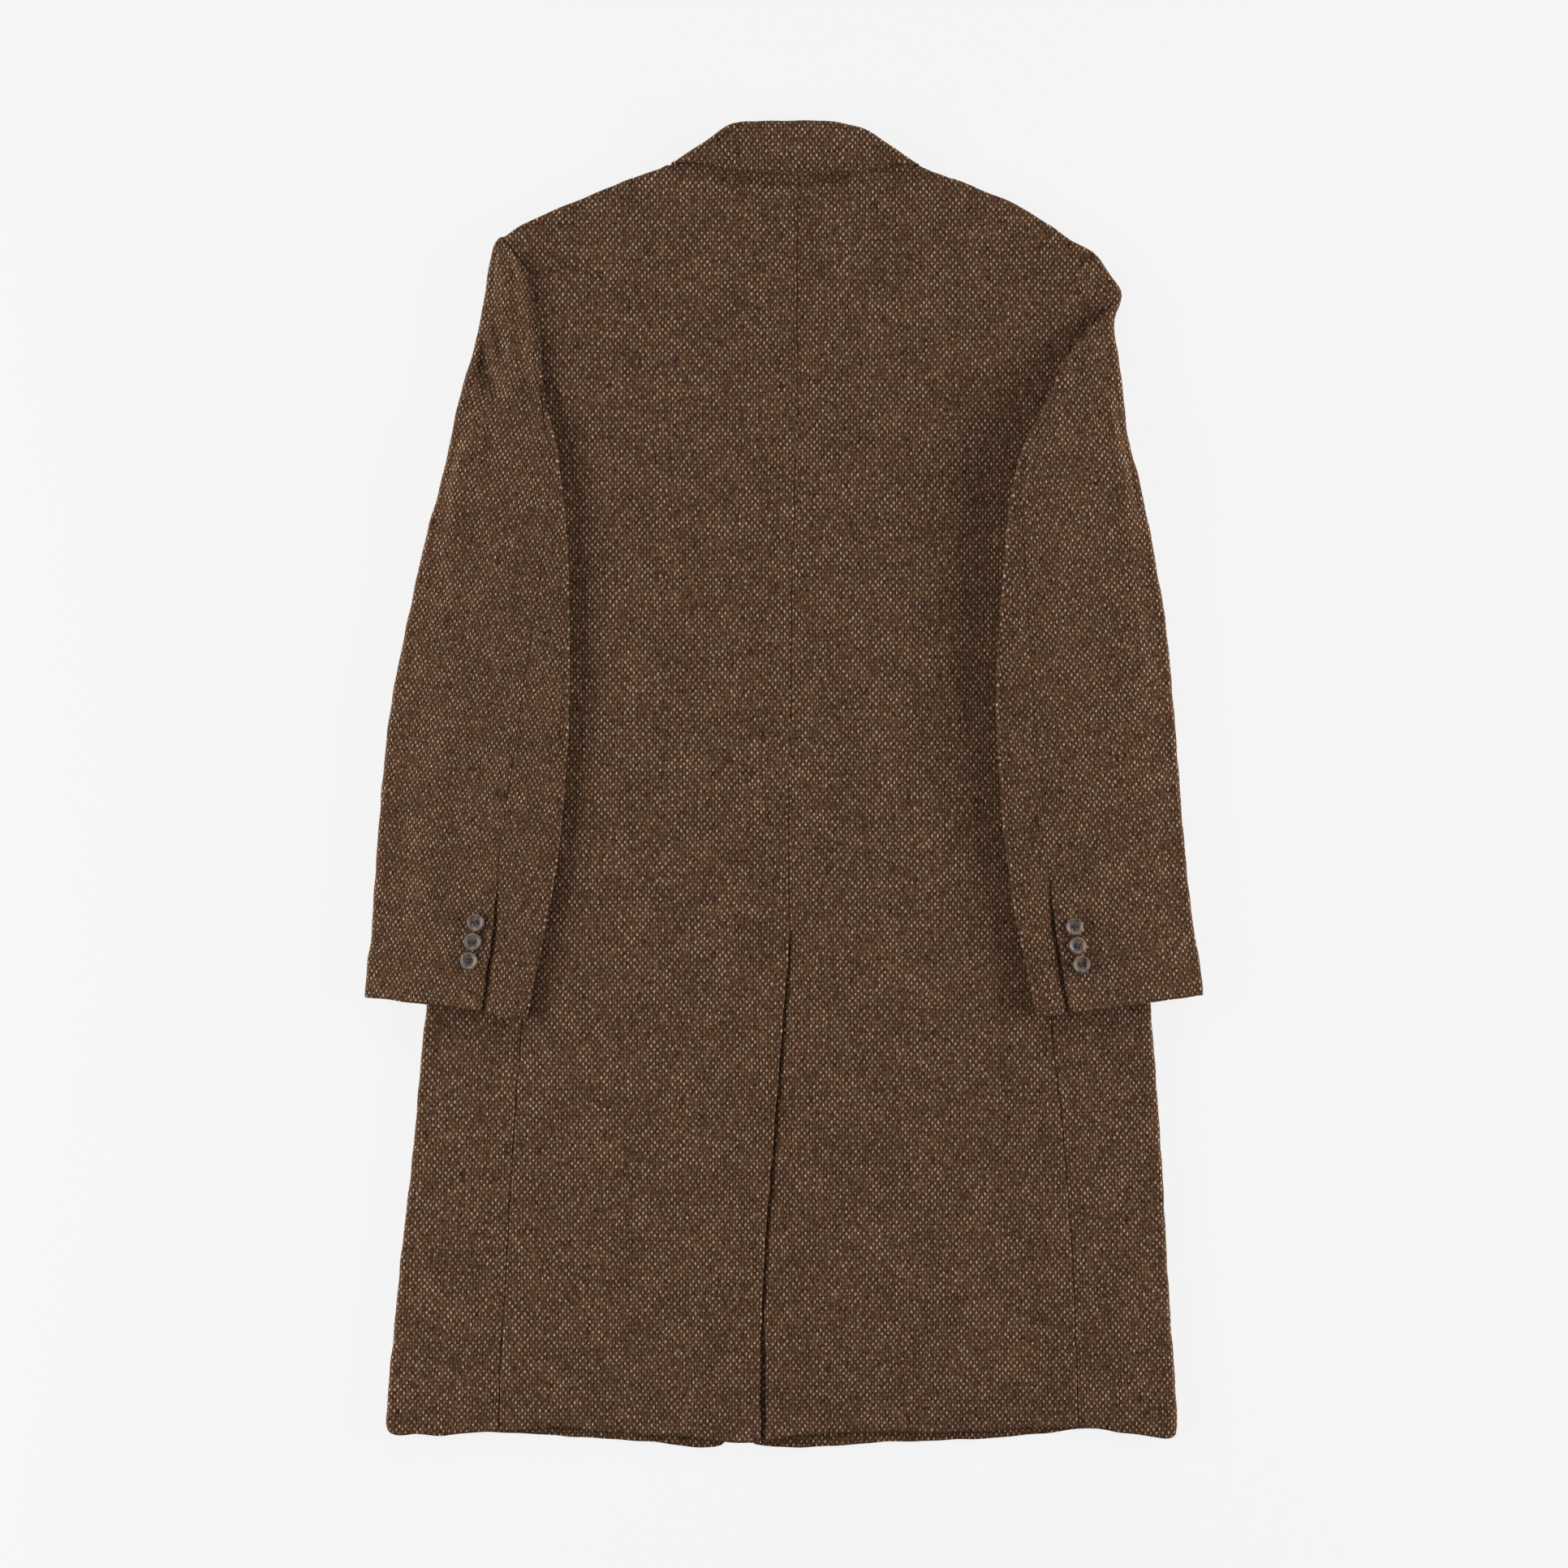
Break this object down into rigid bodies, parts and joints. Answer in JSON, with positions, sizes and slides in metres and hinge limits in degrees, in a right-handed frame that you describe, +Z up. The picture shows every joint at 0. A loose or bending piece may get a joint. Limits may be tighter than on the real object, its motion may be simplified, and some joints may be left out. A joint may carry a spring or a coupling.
{
  "type": "chesterfield coat",
  "caption": "Knee-length tweed overcoat laid flat face down, with turned collar, centre-back vent, long two-piece sleeves folded along its sides and buttoned cuffs.",
  "frame": {"origin": "middle of the coat's bounding box, on the surface that it lies on", "axes": "+Y along the coat from hem to collar, +Z up out of the surface, +X to the right of someone looking down on the coat's back"},
  "size_m": [0.712, 1.1282, 0.0254],
  "materials": {
    "tweed": "napped barleycorn wool tweed, brown with pale flecks",
    "horn": "polished horn-like buttons"
  },
  "bodies": {
    "root": {"back_left": "tweed", "back_right": "tweed", "vent_underlap": "tweed", "side_left": "tweed", "side_right": "tweed", "front_left": "tweed", "front_right": "tweed", "lapel_left": "tweed", "lapel_right": "tweed", "collar_back": "tweed", "collar_front_left": "tweed", "collar_front_right": "tweed", "collar_stand": "tweed", "top_sleeve_left": "tweed", "top_sleeve_right": "tweed", "under_sleeve_left": "tweed", "under_sleeve_right": "tweed", "cuff_button_left_1": "horn", "cuff_button_left_2": "horn", "cuff_button_left_3": "horn", "cuff_button_right_1": "horn", "cuff_button_right_2": "horn", "cuff_button_right_3": "horn"}
  },
  "joints": []
}
